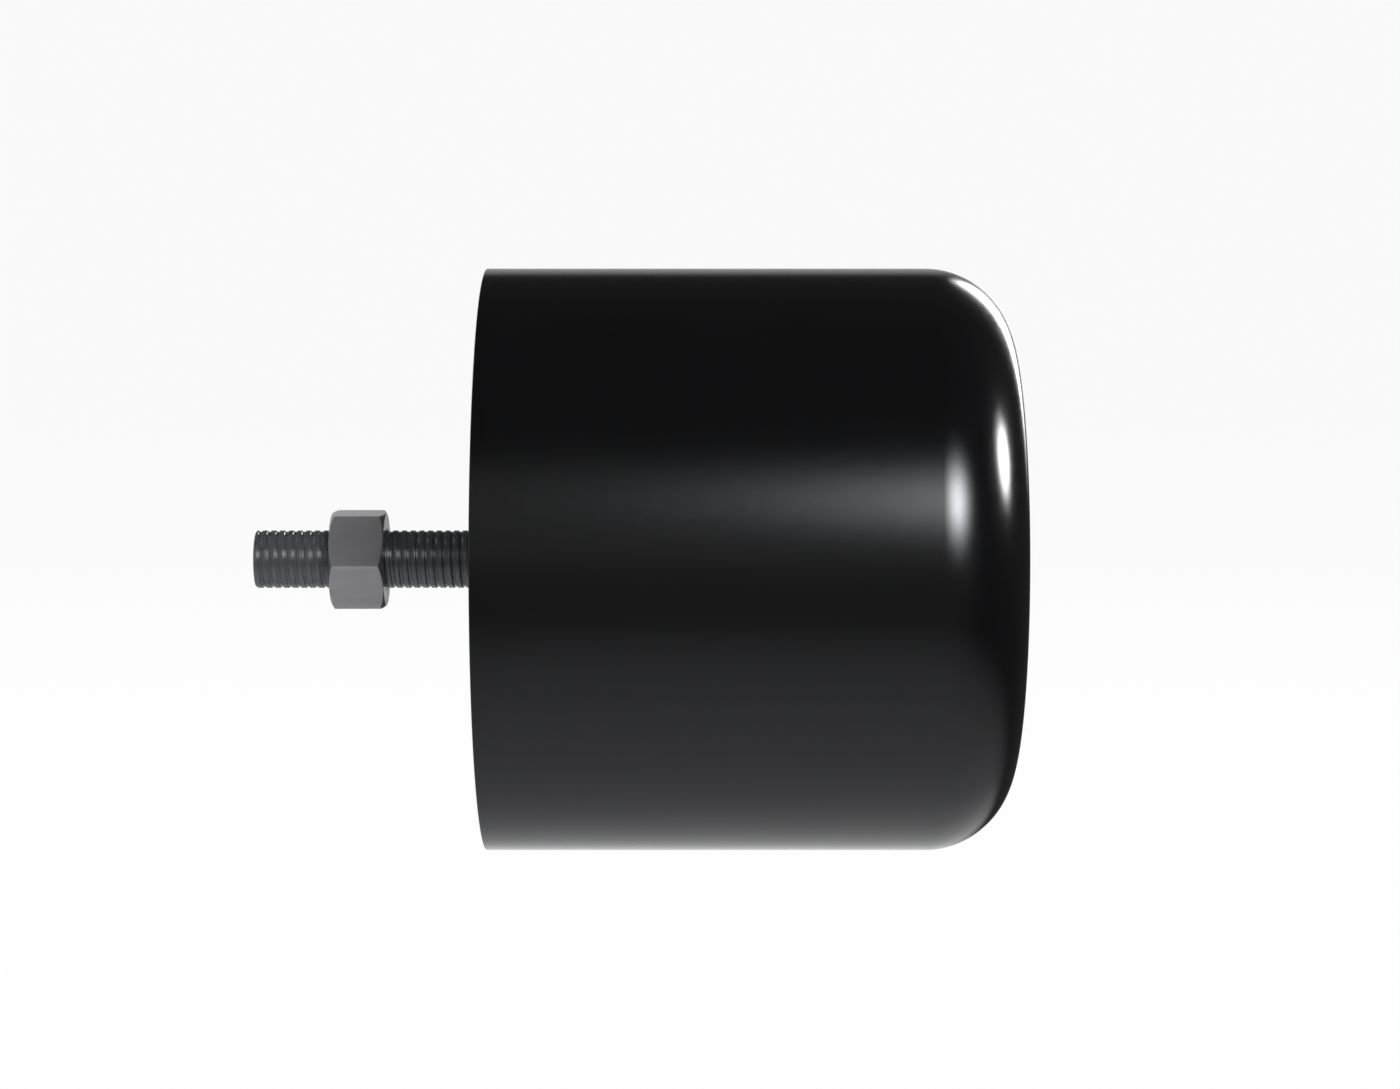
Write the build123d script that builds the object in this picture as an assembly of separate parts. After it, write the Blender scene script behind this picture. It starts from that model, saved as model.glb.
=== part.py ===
from build123d import *

import os
from math import cos, radians, tan

# A polyurethane buffer on a threaded stud, with a hexagon nut run part way up the stud.
# Sizes are in millimetres and angles in degrees.
# The origin is the centre of the flat back face that seats against the machine.
# +X runs along the buffer's axis to the nose that takes the blow, and +Z is up.

# Urethane block
body_diameter = 100.0
body_length = 90.0
nose_radius = 15.0

# Steel insert: a disc sunk behind the back face, and the stud screwed through its centre
plate_diameter = 64.0
plate_thickness = 6.0
plate_depth = 8.0
plate_edge_radius = 1.0
bond_hole_count = 6
bond_hole_diameter = 9.0
bond_hole_circle = 42.0
stud_diameter = 10.0
stud_projection = 40.0
stud_tip_chamfer = 0.2

# Hexagon nut
nut_across_flats = 16.0
nut_height = 9.3
nut_standoff = 17.55
nut_chamfer_angle = 30.0
nut_countersink = 0.4
nut_turn = 7.5
nut_clearance = 0.05


def cast_block():
    """The block before its insert: a cylinder with a flat back and a broad round at the nose."""
    radius = body_diameter / 2
    flat_radius = radius - nose_radius
    straight = body_length - nose_radius
    with BuildPart() as block:
        with BuildSketch(Plane.XZ):
            with BuildLine():
                Polyline((straight, radius), (0, radius), (0, 0), (body_length, 0), (body_length, flat_radius))
                CenterArc((straight, flat_radius), nose_radius, 0, 90)
            make_face()
        revolve(axis=Axis.X)
    return block.part


def anchor_plate():
    """The disc that carries the stud, with a ring of holes that the urethane flows through."""
    with BuildPart() as plate:
        with BuildSketch(Plane.YZ.offset(plate_depth)):
            Circle(plate_diameter / 2)
            Circle(stud_diameter / 2, mode=Mode.SUBTRACT)
            with PolarLocations(bond_hole_circle / 2, bond_hole_count):
                Circle(bond_hole_diameter / 2, mode=Mode.SUBTRACT)
        extrude(amount=plate_thickness)
        rim = plate.edges().filter_by(GeomType.CIRCLE).sort_by(SortBy.RADIUS)[-2:]
        fillet(rim, plate_edge_radius)
    return plate.part


def threaded_stud():
    """The stud, drawn at the crest of its thread. It ends flush with the plate's inner face."""
    with BuildPart() as stud:
        with BuildSketch(Plane.YZ.offset(-stud_projection)):
            Circle(stud_diameter / 2)
        extrude(amount=stud_projection + plate_depth + plate_thickness)
        chamfer(stud.faces().sort_by(Axis.X)[0].edges(), stud_tip_chamfer)
    return stud.part


def buffer_body():
    """The block as it is cast round the insert, so its hollow is the insert's own shape."""
    return cast_block() - anchor_plate() - threaded_stud()


def hex_nut():
    """A hexagon whose corners are turned off by a cone at both ends, bored to run on the stud."""
    flat_radius = nut_across_flats / 2
    corner_radius = flat_radius / cos(radians(30))
    cone_length = (corner_radius - flat_radius) * tan(radians(nut_chamfer_angle))
    outer_end = -nut_standoff - nut_height
    body_end = -nut_standoff
    with BuildPart() as nut:
        with BuildSketch(Plane.YZ.offset(outer_end)):
            RegularPolygon(flat_radius, 6, major_radius=False, rotation=nut_turn)
        extrude(amount=nut_height)
        with BuildSketch(Plane.XZ):
            Polygon(
                (outer_end, 0),
                (outer_end, flat_radius),
                (outer_end + cone_length, corner_radius),
                (body_end - cone_length, corner_radius),
                (body_end, flat_radius),
                (body_end, 0),
                align=None,
            )
        revolve(axis=Axis.X, mode=Mode.INTERSECT)
        with BuildSketch(Plane.YZ.offset(outer_end)):
            Circle(stud_diameter / 2 + nut_clearance)
        extrude(amount=nut_height, mode=Mode.SUBTRACT)
        bore_ends = nut.edges().filter_by(GeomType.CIRCLE).group_by(SortBy.RADIUS)[0]
        chamfer(bore_ends, nut_countersink)
    return nut.part


os.makedirs("parts", exist_ok=True)
for piece in (buffer_body, anchor_plate, threaded_stud, hex_nut):
    export_step(piece(), f"parts/{piece.__name__}.step")
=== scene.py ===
from math import cos, pi, radians, sin, tan

import bmesh
import bpy
from bpy.props import FloatProperty, FloatVectorProperty, PointerProperty
from bpy.types import Operator, Panel, PropertyGroup
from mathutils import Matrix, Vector


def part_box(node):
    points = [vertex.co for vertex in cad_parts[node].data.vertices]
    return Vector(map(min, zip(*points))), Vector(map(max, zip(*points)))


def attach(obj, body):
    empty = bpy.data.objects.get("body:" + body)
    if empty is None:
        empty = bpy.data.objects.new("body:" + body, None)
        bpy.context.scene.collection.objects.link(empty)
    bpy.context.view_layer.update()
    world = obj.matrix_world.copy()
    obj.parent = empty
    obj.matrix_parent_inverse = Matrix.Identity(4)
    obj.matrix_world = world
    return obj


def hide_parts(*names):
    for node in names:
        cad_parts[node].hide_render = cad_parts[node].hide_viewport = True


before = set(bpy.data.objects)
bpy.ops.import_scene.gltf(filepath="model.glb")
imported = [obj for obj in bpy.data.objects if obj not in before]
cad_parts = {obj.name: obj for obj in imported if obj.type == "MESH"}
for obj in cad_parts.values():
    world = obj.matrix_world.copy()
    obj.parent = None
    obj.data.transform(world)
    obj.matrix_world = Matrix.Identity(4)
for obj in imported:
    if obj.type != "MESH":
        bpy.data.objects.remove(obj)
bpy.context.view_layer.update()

bl_info = {
    "name": "Polyurethane Buffer",
    "version": (1, 0, 0),
    "blender": (4, 5, 0),
    "location": "View3D > Sidebar > Buffer",
    "description": "Makes a polyurethane buffer with its threaded stud and hexagon nut",
    "category": "Object",
}

# Sizes are in metres. +X runs along the buffer's axis from the stud to the nose, and +Z is up.
BLOCK_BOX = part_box("buffer_body")
STUD_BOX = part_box("threaded_stud")
NUT_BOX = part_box("hex_nut")

NOSE_RADIUS = 0.015
# The stud's mesh stays this far inside its CAD node's wall and inner end.
STUD_INSET = 0.00002
# A cutting tool reaches this far past what it cuts.
TOOL_SPARE = 0.001
# The nut's cones start this far inside its flats, and its blank stands this far outside its corners.
NUT_FACE_INSET = 0.0001
NUT_BLANK_SPARE = 0.0002
# The angle of a thread's flank, and half the angle between two corners of a hexagon
FLANK_ANGLE = radians(30)
HEXAGON_HALF_ANGLE = radians(30)

# Sides and steps of the round shapes
BLOCK_SIDES = 256
NOSE_SEGMENTS = 32
TURN_STEPS = 64
NUT_BLANK_SIDES = 192
COUNTERSINK_SIDES = 96

# Edges that turn by more than this stay sharp.
SHARP_ANGLE = radians(35)
# Two points this close are one place, are merged, or lie on a cut.
SAME_PLACE = 1e-5
MERGE_DISTANCE = 1e-7
CUT_TOLERANCE = 1e-8


# Settings that a user would change


def size(name, description, default):
    """A length in metres."""
    return FloatProperty(
        name=name, description=description, default=default, precision=5, subtype="DISTANCE", unit="LENGTH"
    )


def angle(name, description, default):
    """An angle, given in degrees."""
    return FloatProperty(
        name=name, description=description, default=radians(default), subtype="ANGLE", unit="ROTATION"
    )


def factor(name, description, default):
    """A share from 0 to 1."""
    return FloatProperty(
        name=name, description=description, default=default, min=0.0, max=1.0, subtype="FACTOR"
    )


def colour(name, description, default):
    """A linear colour."""
    return FloatVectorProperty(
        name=name, description=description, default=default, min=0.0, max=1.0, size=3, subtype="COLOR"
    )


def place(name, description, default):
    """A point in the frame."""
    return FloatVectorProperty(
        name=name, description=description, default=default, size=3, precision=5, subtype="TRANSLATION"
    )


class BlockSettings(PropertyGroup):
    radius: size("Radius", "From the axis to the block's side", BLOCK_BOX[1].z)
    length: size("Length", "From the back face to the nose", BLOCK_BOX[1].x)
    nose_radius: size("Nose radius", "The broad round between side and nose", NOSE_RADIUS)
    rim_radius: size("Rim radius", "The slight break of the rim at the back", 0.0002)
    urethane: colour("Urethane", "The body colour of the urethane", (0.002, 0.002, 0.0023))
    roughness: factor("Roughness", "How much the moulded skin blurs what it reflects", 0.16)


class StudSettings(PropertyGroup):
    crest_radius: size("Crest radius", "From the axis to the thread's crest", STUD_BOX[1].y - STUD_INSET)
    pitch: size("Pitch", "From one turn of the thread to the next", 0.0015)
    depth: size("Thread depth", "From the thread's crest down to its root", 0.0002)
    crest_width: size("Crest width", "Of the flat on top of the thread", 0.0008)
    thread_round: size("Thread round", "The worn round of the thread's corners", 0.00004)
    tip_chamfer: size("Tip chamfer", "The slight chamfer at the free end", 0.0002)
    steel: colour("Steel", "The blackened steel of the stud", (0.1, 0.103, 0.111))
    worn_steel: colour("Worn steel", "The brighter steel on the crests", (0.13, 0.135, 0.145))
    roughness: factor("Roughness", "How matte the stud is", 0.23)


class NutSettings(PropertyGroup):
    across_flats: size("Across flats", "From one flat of the hexagon to the opposite one", 0.016)
    chamfer_angle: angle("Chamfer angle", "Of the cones that turn off the corners", 30.0)
    turn: angle("Turn", "How far the nut is turned on the stud", 7.5)
    edge_break: size("Edge break", "The worn round of every edge", 0.00012)
    countersink_radius: size("Countersink radius", "Of the cones at the ends of the bore", 0.00545)
    thread_clearance: size("Thread clearance", "Between the nut's thread and the stud's", 0.00005)
    steel: colour("Steel", "The grey steel of the nut", (0.325, 0.316, 0.322))
    roughness: factor("Roughness", "How matte the nut is", 0.22)


class PlateSettings(PropertyGroup):
    steel: colour("Steel", "The blasted steel of the anchor plate", (0.33, 0.33, 0.34))
    roughness: factor("Roughness", "How matte the plate is", 0.6)


class StageSettings(PropertyGroup):
    camera_place: place("Camera", "Where the camera stands", (0.03652, -0.5727, 0.00253))
    lens: FloatProperty(name="Lens", description="Focal length in millimetres", default=85.3, unit="CAMERA")
    floor_drop: size("Floor drop", "From the buffer's axis down to the floor", 0.25)
    floor_radius: size("Floor radius", "Where the floor has faded out", 0.65)
    floor: colour("Floor", "The pale floor", (0.45, 0.45, 0.46))
    lamp_distance: size("Lamp distance", "From the start of the nose to each lamp", 1.0)


# Mesh tools


def deselect_all():
    bpy.ops.object.select_all(action="DESELECT")


def select_only(piece):
    """Only this piece is selected and active."""
    deselect_all()
    piece.select_set(True)
    bpy.context.view_layer.objects.active = piece


def start_editing(piece):
    """Only this piece is selected and open in edit mode."""
    select_only(piece)
    bpy.ops.object.mode_set(mode="EDIT")
    bpy.ops.mesh.select_mode(type="VERT")


def stop_editing():
    bpy.ops.object.mode_set(mode="OBJECT")


def pick_all():
    """In edit mode, selects everything."""
    bpy.ops.mesh.select_all(action="SELECT")


def pick(kind, test):
    """In edit mode, selects only the vertices, edges or faces whose corners all pass the test."""
    bpy.ops.mesh.select_mode(type=kind)
    bpy.ops.mesh.select_all(action="DESELECT")
    mesh = bpy.context.edit_object.data
    shape = bmesh.from_edit_mesh(mesh)
    parts = {"VERT": shape.verts, "EDGE": shape.edges, "FACE": shape.faces}[kind]
    for part in parts:
        corners = [part] if kind == "VERT" else part.verts
        if all(test(corner.co) for corner in corners):
            part.select_set(True)
    bmesh.update_edit_mesh(mesh)


def bisect(place_on_axis, **values):
    """In edit mode, cuts what is selected straight across the axis."""
    bpy.ops.mesh.bisect(
        plane_co=(place_on_axis, 0, 0), plane_no=(1, 0, 0), threshold=CUT_TOLERANCE, **values
    )


def from_axis(point):
    """The distance of a point from the buffer's axis."""
    return point.yz.length


def near(a, b):
    """True within a hundredth of a millimetre."""
    return abs(a - b) < SAME_PLACE


def corner_radius(across_flats):
    """From the axis to a corner of a hexagon."""
    return across_flats / 2 / cos(HEXAGON_HALF_ANGLE)


def new_cylinder(name, radius, start, end, sides):
    """A cylinder along the axis, between two places on it."""
    deselect_all()
    bpy.ops.mesh.primitive_cylinder_add(
        vertices=sides,
        radius=radius,
        depth=end - start,
        location=((start + end) / 2, 0, 0),
        rotation=(0, pi / 2, 0),
    )
    return settle(name)


def new_cone(name, start_radius, end_radius, start, end, sides):
    """A cone along the axis, between two places on it."""
    deselect_all()
    bpy.ops.mesh.primitive_cone_add(
        vertices=sides,
        radius1=start_radius,
        radius2=end_radius,
        depth=end - start,
        location=((start + end) / 2, 0, 0),
        rotation=(0, pi / 2, 0),
    )
    return settle(name)


def settle(name):
    """Names the active object and moves its place into its mesh."""
    piece = bpy.context.object
    piece.name = name
    piece.data.name = name
    bpy.ops.object.transform_apply(location=True, rotation=True, scale=True)
    return piece


def apply_modifier(piece, kind, **values):
    """Adds a modifier to a piece and applies it."""
    select_only(piece)
    bpy.ops.object.modifier_add(type=kind)
    modifier = piece.modifiers[-1]
    for key, value in values.items():
        setattr(modifier, key, value)
    bpy.ops.object.modifier_apply(modifier=modifier.name)


def combine(piece, operation, tool, keep_tool=False):
    """Cuts a piece with a tool, or keeps only what lies inside it."""
    apply_modifier(piece, "BOOLEAN", operation=operation, object=tool, solver="EXACT")
    if not keep_tool:
        bpy.data.objects.remove(tool)


def finish_shading(piece):
    """Smooth over gentle bends, with flat faces kept flat up to their rounds."""
    select_only(piece)
    bpy.ops.object.shade_smooth_by_angle(angle=SHARP_ANGLE)
    apply_modifier(piece, "WEIGHTED_NORMAL", mode="FACE_AREA", keep_sharp=True)


def threaded_rod(name, crest_radius, depth, crest_width, thread_round, pitch, start, end):
    """A right-hand thread between two places on the axis, closed at both ends.

    One tooth is drawn as a chain of edges, its corners are rounded, and it is run along a helix.
    Every rod starts its helix at the same place, so that a nut's thread meets its stud's.
    """
    spare_turns = 2
    end_margin = 1e-6
    flank = depth * tan(FLANK_ANGLE)
    turns_before = int(-start / pitch) + spare_turns
    turns = int((end - start) / pitch) + 2 * spare_turns
    tooth_start = -turns_before * pitch
    root_width = pitch - crest_width - 2 * flank
    deselect_all()
    bpy.ops.mesh.primitive_plane_add(size=pitch)
    rod = settle(name)
    start_editing(rod)
    pick_all()
    bpy.ops.mesh.merge(type="COLLAPSE")
    bpy.ops.transform.translate(value=(tooth_start, 0, crest_radius - depth))
    for step in ((flank, 0, depth), (crest_width, 0, 0), (flank, 0, -depth), (root_width, 0, 0)):
        bpy.ops.mesh.extrude_vertices_move(TRANSFORM_OT_translate={"value": step})
    pick("VERT", lambda p: tooth_start + end_margin < p.x < tooth_start + pitch - end_margin)
    bpy.ops.mesh.bevel(affect="VERTICES", offset=thread_round, segments=2)
    stop_editing()
    apply_modifier(
        rod,
        "SCREW",
        axis="X",
        screw_offset=pitch,
        iterations=turns,
        steps=TURN_STEPS,
        render_steps=TURN_STEPS,
        use_smooth_shade=False,
    )
    start_editing(rod)
    pick_all()
    bpy.ops.mesh.remove_doubles(threshold=MERGE_DISTANCE)
    for cut, side in ((start, "clear_inner"), (end, "clear_outer")):
        pick_all()
        bisect(cut, use_fill=True, **{side: True})
    pick_all()
    bpy.ops.mesh.normals_make_consistent(inside=False)
    stop_editing()
    return rod


# Nodes and finishes

# The ranges that most of a noise falls in
NOISE_MIDDLE = (0.3, 0.7)
NOISE_BREADTH = (0.2, 0.8)
# What a range is carried over to, where something comes in or fades out along it
RISING = (0.0, 1.0)
FALLING = (1.0, 0.0)


class Nodes:
    """Short calls that add nodes to a material or a world."""

    def __init__(self, owner):
        owner.use_nodes = True
        self.tree = owner.node_tree

    def node(self, kind, **values):
        made = self.tree.nodes.new(kind)
        for key, value in values.items():
            setattr(made, key, value)
        return made

    def link(self, value, node, socket):
        """Gives a socket a number, or what another node puts out."""
        if isinstance(value, (int, float)):
            node.inputs[socket].default_value = value
        else:
            self.tree.links.new(value, node.inputs[socket])

    def join(self, kind, output, *values, **settings):
        """A node whose first sockets take the values in turn."""
        made = self.node(kind, **settings)
        for number, value in enumerate(values):
            self.link(value, made, number)
        return made.outputs[output]

    def math(self, operation, *values):
        return self.join("ShaderNodeMath", "Value", *values, operation=operation)

    def length(self, vector):
        return self.join("ShaderNodeVectorMath", "Value", vector, operation="LENGTH")

    def mix_shaders(self, share, first, second):
        return self.join("ShaderNodeMixShader", "Shader", share, first, second)

    def axes(self, vector):
        """The three parts of a vector."""
        split = self.node("ShaderNodeSeparateXYZ")
        self.link(vector, split, "Vector")
        return split.outputs

    def spread(self, value, given, wanted, interpolation="LINEAR"):
        """Carries one range over to another."""
        made = self.node("ShaderNodeMapRange", interpolation_type=interpolation)
        for socket, number in zip(("From Min", "From Max", "To Min", "To Max"), (*given, *wanted)):
            made.inputs[socket].default_value = number
        self.link(value, made, "Value")
        return made.outputs["Result"]

    def ease(self, value, given, wanted):
        """Carries one range over to another, gently at both ends."""
        return self.spread(value, given, wanted, interpolation="SMOOTHSTEP")


class Finish(Nodes):
    """A material on Principled BSDF."""

    def __init__(self, name, roughness, metallic, ior=1.5):
        self.material = bpy.data.materials.new(name)
        super().__init__(self.material)
        self.shader = self.tree.nodes["Principled BSDF"]
        self.shader.inputs["Roughness"].default_value = roughness
        self.shader.inputs["Metallic"].default_value = metallic
        self.shader.inputs["IOR"].default_value = ior
        self.point = self.node("ShaderNodeTexCoord").outputs["Object"]

    def noise(self, scale, detail, roughness=0.5, stretch=(1, 1, 1)):
        """Cloudy noise from 0 to 1. The scale is in features for each metre."""
        mapping = self.node("ShaderNodeMapping")
        mapping.inputs["Scale"].default_value = stretch
        self.link(self.point, mapping, "Vector")
        made = self.node("ShaderNodeTexNoise")
        made.inputs["Scale"].default_value = scale
        made.inputs["Detail"].default_value = detail
        made.inputs["Roughness"].default_value = roughness
        self.link(mapping.outputs["Vector"], made, "Vector")
        return made.outputs["Fac"]

    def along_and_out(self):
        """The place along the axis and the distance from it."""
        x, y, z = self.axes(self.point)
        squares = self.math("ADD", self.math("POWER", y, 2), self.math("POWER", z, 2))
        return x, self.math("SQRT", squares)

    def set_colour(self, share, first, second):
        """The colour lies between two others."""
        made = self.node("ShaderNodeMix", data_type="RGBA")
        self.link(share, made, "Factor")
        colour_inputs = [socket for socket in made.inputs if socket.type == "RGBA"]
        for socket, value in zip(colour_inputs, (first, second)):
            socket.default_value = (*value, 1)
        colour_output = [socket for socket in made.outputs if socket.type == "RGBA"][0]
        self.link(colour_output, self.shader, "Base Color")

    def set_roughness(self, value):
        self.link(value, self.shader, "Roughness")

    def bump(self, height, strength, distance, below=None):
        """A bump, laid over another one if that is given."""
        made = self.node("ShaderNodeBump")
        made.inputs["Strength"].default_value = strength
        made.inputs["Distance"].default_value = distance
        self.link(height, made, "Height")
        if below is not None:
            self.link(below, made, "Normal")
        return made.outputs["Normal"]

    def set_bump(self, normal):
        self.link(normal, self.shader, "Normal")

    def put_on(self, piece):
        """This finish alone, on every face of a piece."""
        if not piece.data.materials:
            piece.data.materials.append(self.material)
        for slot in piece.material_slots:
            slot.material = self.material


def shade_of(base, share):
    """The same colour, lighter or darker."""
    return tuple(min(1.0, channel * share) for channel in base)


def urethane_finish(values):
    """Glossy black urethane: a smooth moulded skin, and fine turned rings on the faced-off back."""
    back_edge = (0.00005, 0.0002)
    ring_pitch = 0.0006
    faced_roughness = 0.16
    unevenness = 0.02
    finish = Finish("glossy_black_urethane", values.roughness, metallic=0.0)
    along, out = finish.along_and_out()
    cloud = finish.noise(45, detail=4)
    finish.set_colour(cloud, shade_of(values.urethane, 0.75), shade_of(values.urethane, 1.3))
    back = finish.spread(along, back_edge, FALLING)
    skin_range = (values.roughness - unevenness, values.roughness + unevenness)
    skin = finish.spread(finish.noise(900, detail=2), NOISE_MIDDLE, skin_range)
    faced = finish.math("MULTIPLY", back, faced_roughness)
    finish.set_roughness(finish.math("ADD", skin, faced))
    rings = finish.math("SINE", finish.math("MULTIPLY", out, 2 * pi / ring_pitch))
    ring_height = finish.math("MULTIPLY", rings, back)
    faced_back = finish.bump(ring_height, strength=0.12, distance=0.00005)
    orange_peel = finish.noise(160, detail=2)
    finish.set_bump(finish.bump(orange_peel, strength=0.02, distance=0.0002, below=faced_back))
    return finish


def stud_finish(values):
    """Blackened steel, worn brighter in patches on the thread's crests."""
    worn_depth = 0.0003
    finish = Finish("blackened_steel_thread", values.roughness, metallic=0.62)
    _along, out = finish.along_and_out()
    crest = finish.ease(out, (values.crest_radius - worn_depth, values.crest_radius), RISING)
    patches = finish.spread(finish.noise(700, detail=4), NOISE_MIDDLE, (0.2, 0.9))
    finish.set_colour(finish.math("MULTIPLY", crest, patches), values.steel, values.worn_steel)
    rough_range = (values.roughness - 0.04, values.roughness + 0.03)
    finish.set_roughness(finish.spread(finish.noise(1500, detail=3), NOISE_BREADTH, rough_range))
    finish.set_bump(finish.bump(finish.noise(4000, detail=2), strength=0.05, distance=0.00002))
    return finish


def nut_finish(values):
    """Cold-formed grey steel with faint drawn streaks, brighter at the corners, where spanners rub."""
    rubbed_width = 0.0006
    finish = Finish("grey_steel_nut", values.roughness, metallic=0.7)
    _along, out = finish.along_and_out()
    corner = corner_radius(values.across_flats)
    rubbed = finish.ease(out, (corner - rubbed_width, corner), (0.0, 0.35))
    streaks = finish.noise(900, detail=4, stretch=(0.15, 1, 1))
    tone = finish.math("ADD", finish.spread(streaks, NOISE_MIDDLE, (0.0, 0.3)), rubbed)
    finish.set_colour(tone, shade_of(values.steel, 0.9), shade_of(values.steel, 1.25))
    rough_range = (values.roughness - 0.03, values.roughness + 0.03)
    finish.set_roughness(finish.spread(finish.noise(1300, detail=3), NOISE_BREADTH, rough_range))
    finish.set_bump(finish.bump(streaks, strength=0.05, distance=0.00003))
    return finish


def plate_finish(values):
    """Grit-blasted steel, pitted all over to hold the urethane."""
    finish = Finish("blasted_steel_plate", values.roughness, metallic=1.0)
    grit = finish.noise(2500, detail=4, roughness=0.7)
    finish.set_colour(grit, shade_of(values.steel, 0.7), shade_of(values.steel, 1.2))
    finish.set_bump(finish.bump(grit, strength=0.5, distance=0.00005))
    return finish


# Pieces


class BUFFER_OT_add_stud(Operator):
    """Makes the threaded stud"""

    bl_idname = "buffer.add_stud"
    bl_label = "Add stud"

    def execute(self, context):
        values = context.scene.buffer_stud
        start, end = STUD_BOX[0].x, STUD_BOX[1].x - STUD_INSET
        stud = threaded_rod(
            "stud",
            values.crest_radius,
            values.depth,
            values.crest_width,
            values.thread_round,
            values.pitch,
            start - TOOL_SPARE,
            end,
        )
        chamfer = values.tip_chamfer
        blank = new_cylinder("stud_blank", values.crest_radius + chamfer, start, end + TOOL_SPARE, TURN_STEPS)
        start_editing(blank)
        pick("EDGE", lambda p: near(p.x, start))
        bpy.ops.mesh.bevel(affect="EDGES", offset=2 * chamfer, segments=1)
        stop_editing()
        combine(stud, "INTERSECT", blank)
        finish_shading(stud)
        stud_finish(values).put_on(stud)
        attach(stud, "buffer")
        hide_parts("threaded_stud")
        return {"FINISHED"}


class BUFFER_OT_add_block(Operator):
    """Makes the urethane block, cast round the stud and its anchor plate"""

    bl_idname = "buffer.add_block"
    bl_label = "Add block"

    def execute(self, context):
        values = context.scene.buffer_block
        block = new_cylinder("urethane_block", values.radius, 0.0, values.length, BLOCK_SIDES)
        start_editing(block)
        pick("EDGE", lambda p: near(p.x, values.length))
        bpy.ops.mesh.bevel(
            affect="EDGES", offset=values.nose_radius, segments=NOSE_SEGMENTS, clamp_overlap=False
        )
        pick("EDGE", lambda p: near(p.x, 0.0))
        bpy.ops.mesh.bevel(affect="EDGES", offset=values.rim_radius, segments=3)
        stop_editing()
        combine(block, "DIFFERENCE", self.solid_plate())
        combine(block, "DIFFERENCE", bpy.data.objects["stud"], keep_tool=True)
        finish_shading(block)
        urethane_finish(values).put_on(block)
        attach(block, "buffer")
        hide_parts("buffer_body")
        return {"FINISHED"}

    def solid_plate(self):
        """A copy of the anchor plate with its bore filled, which leaves the room that the plate takes."""
        plate = bpy.data.objects.new("plate_room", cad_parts["anchor_plate"].data.copy())
        bpy.context.scene.collection.objects.link(plate)
        start_editing(plate)
        pick_all()
        bpy.ops.mesh.remove_doubles(threshold=MERGE_DISTANCE)
        bore_radius = STUD_BOX[1].y
        pick("FACE", lambda p: from_axis(p) < bore_radius + SAME_PLACE)
        bpy.ops.mesh.delete(type="FACE")
        pick_all()
        bpy.ops.mesh.fill_holes(sides=0)
        stop_editing()
        return plate


class BUFFER_OT_finish_plate(Operator):
    """Gives the anchor plate its blasted steel"""

    bl_idname = "buffer.finish_plate"
    bl_label = "Finish plate"

    def execute(self, context):
        plate_finish(context.scene.buffer_plate).put_on(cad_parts["anchor_plate"])
        return {"FINISHED"}


class BUFFER_OT_add_nut(Operator):
    """Makes the hexagon nut, with its corners turned off and its bore tapped"""

    bl_idname = "buffer.add_nut"
    bl_label = "Add nut"

    def execute(self, context):
        values = context.scene.buffer_nut
        start, end = NUT_BOX[0].x, NUT_BOX[1].x
        corner = corner_radius(values.across_flats)
        nut = new_cylinder("hexagon_nut", corner, start - TOOL_SPARE, end + TOOL_SPARE, 6)
        nut.rotation_euler.x = values.turn
        bpy.ops.object.transform_apply(rotation=True)
        start_editing(nut)
        pick_all()
        bpy.ops.mesh.bevel(affect="EDGES", offset=values.edge_break, segments=3)
        stop_editing()
        combine(nut, "INTERSECT", self.turned_blank(values, start, end))
        combine(nut, "DIFFERENCE", self.tap(context.scene.buffer_stud, values, start, end))
        for mouth, inward in ((start, 1), (end, -1)):
            combine(nut, "DIFFERENCE", self.countersink(mouth, inward, values))
        finish_shading(nut)
        nut_finish(values).put_on(nut)
        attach(nut, "nut")
        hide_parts("hex_nut")
        return {"FINISHED"}

    def turned_blank(self, values, start, end):
        """A bar whose ends are coned down to the hexagon's flats."""
        face_radius = values.across_flats / 2 - NUT_FACE_INSET
        bar_radius = corner_radius(values.across_flats) + NUT_BLANK_SPARE
        cone_length = (bar_radius - face_radius) * tan(values.chamfer_angle)
        blank = new_cylinder("nut_blank", face_radius, start, end, NUT_BLANK_SIDES)
        start_editing(blank)
        for cut in (start + cone_length, end - cone_length):
            pick_all()
            bisect(cut)
        pick("VERT", lambda p: start + cone_length / 2 < p.x < end - cone_length / 2)
        grow = bar_radius / face_radius
        bpy.ops.transform.resize(value=(1, grow, grow), center_override=(0, 0, 0))
        stop_editing()
        return blank

    def tap(self, stud_values, values, start, end):
        """The thread that the nut's bore leaves free: the stud's own, with clearance all round."""
        gap = values.thread_clearance
        crest_width = stud_values.crest_width + 2 * gap * (1 / cos(FLANK_ANGLE) - tan(FLANK_ANGLE))
        return threaded_rod(
            "tap",
            stud_values.crest_radius + gap,
            stud_values.depth,
            crest_width,
            stud_values.thread_round,
            stud_values.pitch,
            start - TOOL_SPARE,
            end + TOOL_SPARE,
        )

    def countersink(self, mouth, inward, values):
        """A cone at a right angle, from outside the mouth of the bore down to the axis."""
        outer, tip = mouth - inward * TOOL_SPARE, mouth + inward * values.countersink_radius
        radius = values.countersink_radius + TOOL_SPARE
        if inward > 0:
            return new_cone("countersink", radius, 0, outer, tip, COUNTERSINK_SIDES)
        return new_cone("countersink", 0, radius, tip, outer, COUNTERSINK_SIDES)


# Stage

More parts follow.
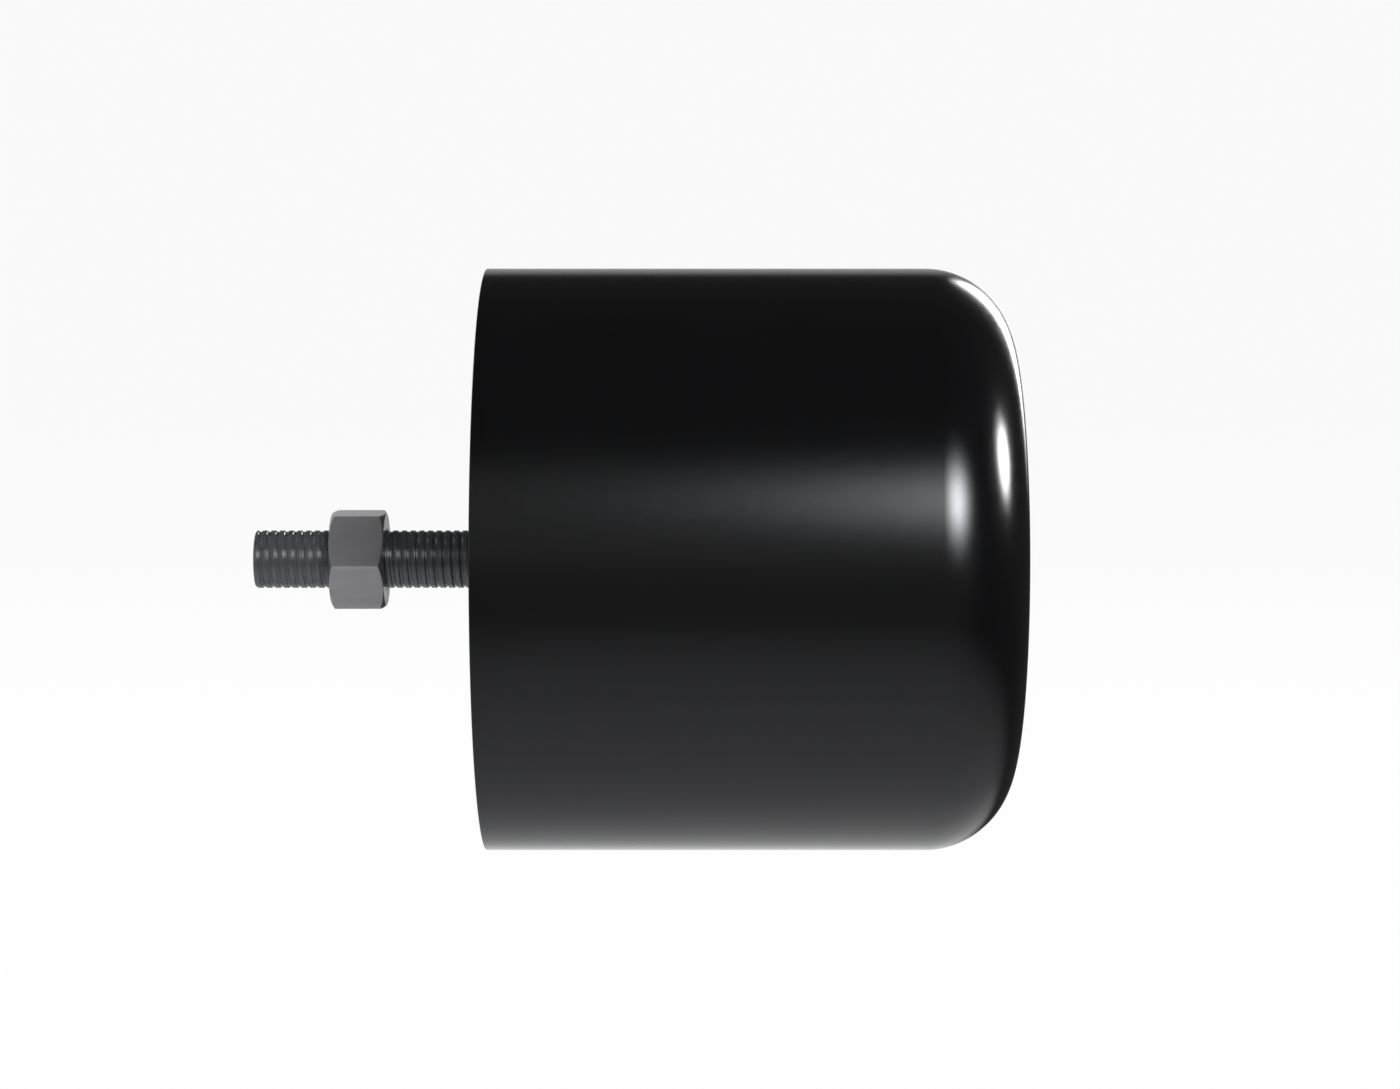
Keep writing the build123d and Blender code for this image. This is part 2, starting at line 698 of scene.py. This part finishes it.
# Each lamp has its azimuth and elevation, its half-angles across and up and its lean, all in
# degrees, then its strength, how steeply it falls off towards its rim, and its tint.
LAMPS = (
    ("front_lamp", 21.5, 21, 37, 36.5, 0, 26.0, 5.7, (0.92, 0.96, 1.0)),
    ("side_lamp", 94.5, 21.5, 16, 14, 0, 70.0, 2.0, (1.0, 0.99, 1.0)),
    ("back_lamp", 158.1, 19.5, 7.2, 18.6, 22, 22.0, 1.0, (1.0, 1.0, 1.0)),
    ("stud_lamp", -100, 38, 30, 24, 0, 12.0, 8.0, (0.96, 0.98, 1.0)),
)

# Brightness, from 0 for black to 1 for white. The camera sees the backdrop, matte surfaces are lit
# by one even tone, and glossy ones reflect the zones. A pair runs from low to high up.
BACKDROP_BELOW = 0.99
BACKDROP_ABOVE = 0.947
EVEN_TONE = 0.6
DARK_TONE = 0.034
STUD_SIDE_TONE = 0.58
BEHIND_TONES = (0.95, 0.38)
AHEAD_TONES = (0.13, 0.24)

# The ranges over which the zones give way to each other. X, Y and Z are those of a direction one
# metre long, a tangent is taken from straight behind the buffer, and so is a turn in radians.
BACKDROP_Z = (-0.06, 0.04)
BEHIND_TONES_Z = (-0.1, 0.42)
BEHIND_TANGENT = 0.08
BEHIND_EDGE = (0.0, 0.12)
BEHIND_WIDER_Z = (-0.54, -0.22)
BEHIND_WIDER = (8.0, 1.0)
SMALLEST_Y = 0.001
AHEAD_TONES_Z = (-0.15, 0.05)
AHEAD_Y = (-0.95, -0.5)
AHEAD_TOP_Z = (0.45, 0.75)
STUD_SIDE_START = (0.085, 0.12)
STUD_SIDE_END = (2.3, 2.6)
TOP_Z = (0.4, 0.52)


def direction(azimuth, elevation):
    """Azimuth 0 points from the buffer to the camera, and 90 along +X. Both are in degrees."""
    across, up = radians(azimuth), radians(elevation)
    return Vector((sin(across) * cos(up), -cos(across) * cos(up), sin(up)))


class BUFFER_OT_set_stage(Operator):
    """Sets the camera, the pale floor, the studio round it and its soft lamps"""

    bl_idname = "buffer.set_stage"
    bl_label = "Set stage"

    def execute(self, context):
        values = context.scene.buffer_stage
        context.scene.view_settings.view_transform = "Standard"
        self.add_camera(context, values)
        self.add_floor(values)
        self.set_world(context)
        nose = Vector((BLOCK_BOX[1].x - NOSE_RADIUS, 0, 0))
        for name, azimuth, elevation, half_width, half_height, lean, strength, fall, tint in LAMPS:
            lamp = self.add_lamp(name, nose, direction(azimuth, elevation), values.lamp_distance)
            lamp.scale = (tan(radians(half_width)), tan(radians(half_height)), 1)
            lamp.rotation_euler.rotate_axis("Z", radians(lean))
            self.light_up(lamp, values.lamp_distance, strength, fall, tint)
        return {"FINISHED"}

    def add_camera(self, context, values):
        camera = bpy.data.cameras.new("camera")
        camera.lens = values.lens
        camera.clip_start, camera.clip_end = 0.01, 20.0
        holder = bpy.data.objects.new("camera", camera)
        holder.location = values.camera_place
        holder.rotation_euler = (pi / 2, 0, 0)
        context.scene.collection.objects.link(holder)
        context.scene.camera = holder

    def add_floor(self, values):
        """A pale disc that fades out towards its rim, seen from above only."""
        deselect_all()
        bpy.ops.mesh.primitive_circle_add(
            vertices=96, radius=values.floor_radius, fill_type="NGON", location=(0, 0, -values.floor_drop)
        )
        floor = bpy.context.object
        floor.name = "floor"
        finish = Finish("pale_floor", 0.9, metallic=0.0)
        finish.shader.inputs["Base Color"].default_value = (*values.floor, 1)
        finish.shader.inputs["Specular IOR Level"].default_value = 0.0
        fade = finish.ease(finish.length(finish.point), (0.0, values.floor_radius), FALLING)
        front = finish.math("SUBTRACT", 1.0, finish.node("ShaderNodeNewGeometry").outputs["Backfacing"])
        seen = finish.math("MULTIPLY", front, finish.node("ShaderNodeLightPath").outputs["Is Camera Ray"])
        clear = finish.node("ShaderNodeBsdfTransparent")
        paper = finish.node("ShaderNodeEmission")
        paper.inputs["Strength"].default_value = BACKDROP_BELOW
        beyond = finish.mix_shaders(seen, clear.outputs["BSDF"], paper.outputs["Emission"])
        share = finish.math("MULTIPLY", fade, front)
        surface = finish.mix_shaders(share, beyond, finish.shader.outputs["BSDF"])
        finish.link(surface, finish.tree.nodes["Material Output"], "Surface")
        finish.put_on(floor)

    def add_lamp(self, name, target, towards, distance):
        """A round softbox that faces the target."""
        deselect_all()
        bpy.ops.mesh.primitive_circle_add(
            vertices=64,
            radius=distance,
            fill_type="NGON",
            location=target + towards * distance,
            rotation=(-towards).to_track_quat("Z", "Y").to_euler(),
        )
        lamp = bpy.context.object
        lamp.name = name
        lamp.visible_camera = False
        return lamp

    def light_up(self, lamp, radius, strength, fall, tint):
        """Brightest in the lamp's middle, and fading out to nothing at its rim, over what lies behind it."""
        material = bpy.data.materials.new(lamp.name)
        glow = Nodes(material)
        glow.tree.nodes.clear()
        point = glow.node("ShaderNodeTexCoord").outputs["Object"]
        fade = glow.ease(glow.length(point), (0.0, radius), FALLING)
        light = glow.node("ShaderNodeEmission")
        light.inputs["Color"].default_value = (*tint, 1)
        glow.link(glow.math("MULTIPLY", glow.math("POWER", fade, fall), strength), light, "Strength")
        clear = glow.node("ShaderNodeBsdfTransparent")
        both = glow.join("ShaderNodeAddShader", "Shader", light.outputs["Emission"], clear.outputs["BSDF"])
        glow.link(both, glow.node("ShaderNodeOutputMaterial"), "Surface")
        lamp.data.materials.append(material)

    def set_world(self, context):
        """The backdrop that the camera sees, and the studio that glossy surfaces reflect.

        The studio is dark but for three zones with soft edges: one behind the buffer, which is wider
        below, one ahead, round the camera, and one on the stud's side.
        """
        world = bpy.data.worlds.new("studio")
        context.scene.world = world
        studio = Nodes(world)
        studio.tree.nodes.clear()
        math, ease = studio.math, studio.ease

        def choose(share, a, b):
            """The number a where the share is 0, and b where it is 1. Its sockets are 0, 2 and 3."""
            made = studio.node("ShaderNodeMix", data_type="FLOAT")
            for number, value in ((0, share), (2, a), (3, b)):
                studio.link(value, made, number)
            return made.outputs[0]

        x, y, z = studio.axes(studio.node("ShaderNodeTexCoord").outputs["Generated"])
        rays = studio.node("ShaderNodeLightPath").outputs
        below_top = ease(z, TOP_Z, FALLING)
        tangent = math("DIVIDE", math("ABSOLUTE", x), math("MAXIMUM", y, SMALLEST_Y))
        wider = ease(z, BEHIND_WIDER_Z, BEHIND_WIDER)
        aside = math("DIVIDE", math("SUBTRACT", tangent, BEHIND_TANGENT), wider)
        behind = math("MULTIPLY", ease(aside, BEHIND_EDGE, FALLING), below_top)
        ahead = math("MULTIPLY", ease(y, AHEAD_Y, FALLING), ease(z, AHEAD_TOP_Z, FALLING))
        turn = math("ARCTAN2", math("MULTIPLY", x, -1.0), y)
        stud_side = math("MULTIPLY", ease(turn, STUD_SIDE_START, RISING), ease(turn, STUD_SIDE_END, FALLING))
        stud_side = math("MULTIPLY", stud_side, below_top)
        reflected = choose(ahead, DARK_TONE, ease(z, AHEAD_TONES_Z, AHEAD_TONES))
        reflected = choose(behind, reflected, ease(z, BEHIND_TONES_Z, BEHIND_TONES))
        reflected = choose(stud_side, reflected, STUD_SIDE_TONE)
        glossy = math("MAXIMUM", rays["Is Glossy Ray"], rays["Is Transmission Ray"])
        light = choose(glossy, EVEN_TONE, reflected)
        backdrop = ease(z, BACKDROP_Z, (BACKDROP_BELOW, BACKDROP_ABOVE))
        light = choose(rays["Is Camera Ray"], light, backdrop)
        background = studio.node("ShaderNodeBackground")
        background.inputs["Color"].default_value = (1, 1, 1, 1)
        studio.link(light, background, "Strength")
        output = studio.node("ShaderNodeOutputWorld")
        studio.link(background.outputs["Background"], output, "Surface")


# Panel and registration


SETTINGS = (
    ("buffer_stage", StageSettings),
    ("buffer_stud", StudSettings),
    ("buffer_block", BlockSettings),
    ("buffer_plate", PlateSettings),
    ("buffer_nut", NutSettings),
)
STEPS = (
    BUFFER_OT_set_stage,
    BUFFER_OT_add_stud,
    BUFFER_OT_add_block,
    BUFFER_OT_finish_plate,
    BUFFER_OT_add_nut,
)


class BUFFER_PT_sidebar(Panel):
    """The buffer's steps, each with its settings"""

    bl_idname = "BUFFER_PT_sidebar"
    bl_label = "Polyurethane Buffer"
    bl_space_type = "VIEW_3D"
    bl_region_type = "UI"
    bl_category = "Buffer"

    def draw(self, context):
        for (name, _group), step in zip(SETTINGS, STEPS):
            box = self.layout.box()
            values = getattr(context.scene, name)
            for key in values.__annotations__:
                box.prop(values, key)
            box.operator(step.bl_idname)


def register():
    for name, group in SETTINGS:
        bpy.utils.register_class(group)
        setattr(bpy.types.Scene, name, PointerProperty(type=group))
    for step in STEPS:
        bpy.utils.register_class(step)
    bpy.utils.register_class(BUFFER_PT_sidebar)


def unregister():
    bpy.utils.unregister_class(BUFFER_PT_sidebar)
    for step in reversed(STEPS):
        bpy.utils.unregister_class(step)
    for name, group in reversed(SETTINGS):
        delattr(bpy.types.Scene, name)
        bpy.utils.unregister_class(group)


def main():
    register()
    bpy.ops.buffer.set_stage()
    bpy.ops.buffer.add_stud()
    bpy.ops.buffer.add_block()
    bpy.ops.buffer.finish_plate()
    bpy.ops.buffer.add_nut()


if __name__ == "__main__":
    main()
